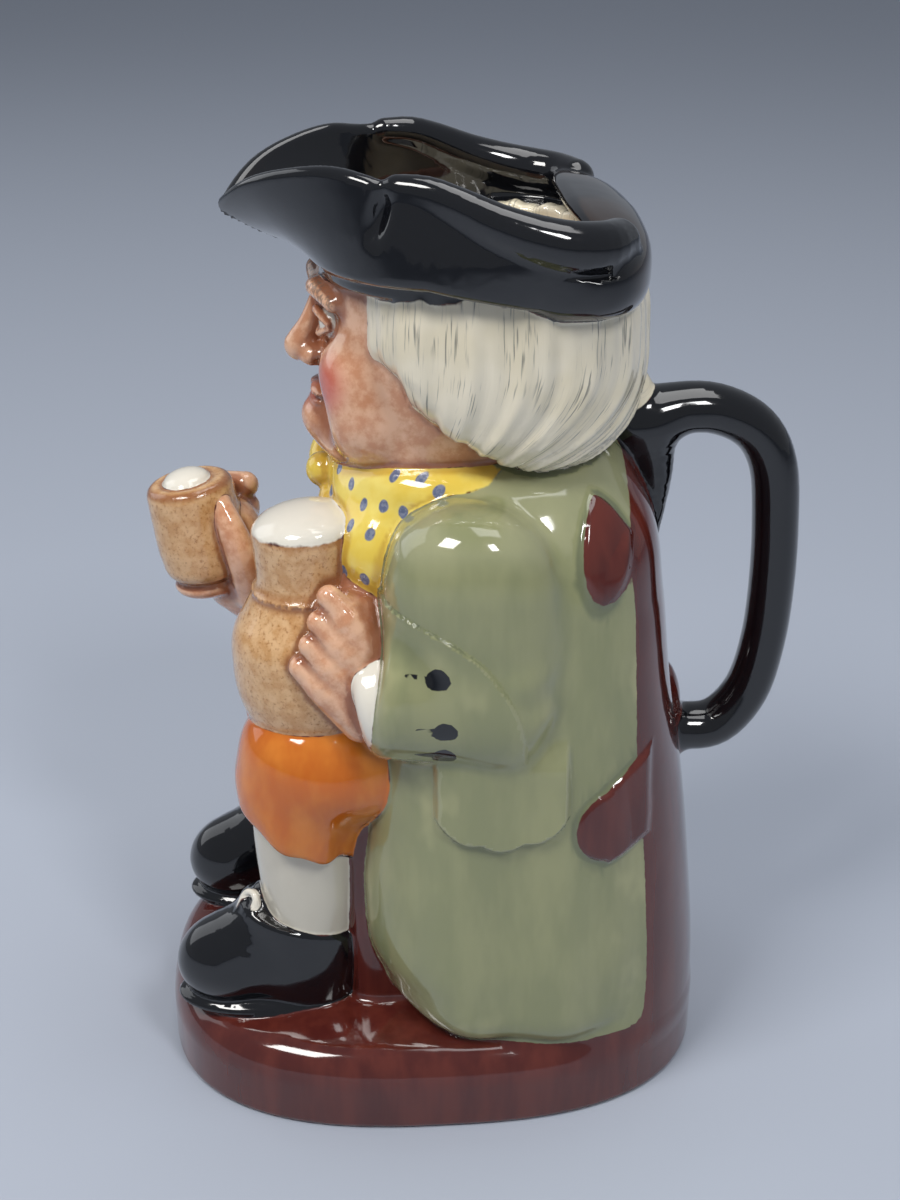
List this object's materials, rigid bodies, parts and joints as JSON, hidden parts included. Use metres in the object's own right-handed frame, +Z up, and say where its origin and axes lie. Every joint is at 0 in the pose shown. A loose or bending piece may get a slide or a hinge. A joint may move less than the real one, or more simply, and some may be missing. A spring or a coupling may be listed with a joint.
{
  "type": "toby jug",
  "caption": "Hollow glazed earthenware jug in the form of a seated man in a tricorn hat, holding an ale jug and a raised mug, with a loop handle behind and the hat as its mouth.",
  "frame": {"origin": "middle of the base's outline, on the flat underside that the jug stands on", "axes": "+Z up; the man faces -Y and his left side is +X; the handle is behind him, at +Y"},
  "size_m": [0.1043, 0.1541, 0.2203],
  "materials": {
    "painted_glaze": "gloss"
  },
  "bodies": {
    "root": {"toby_jug": "painted_glaze"}
  },
  "joints": []
}
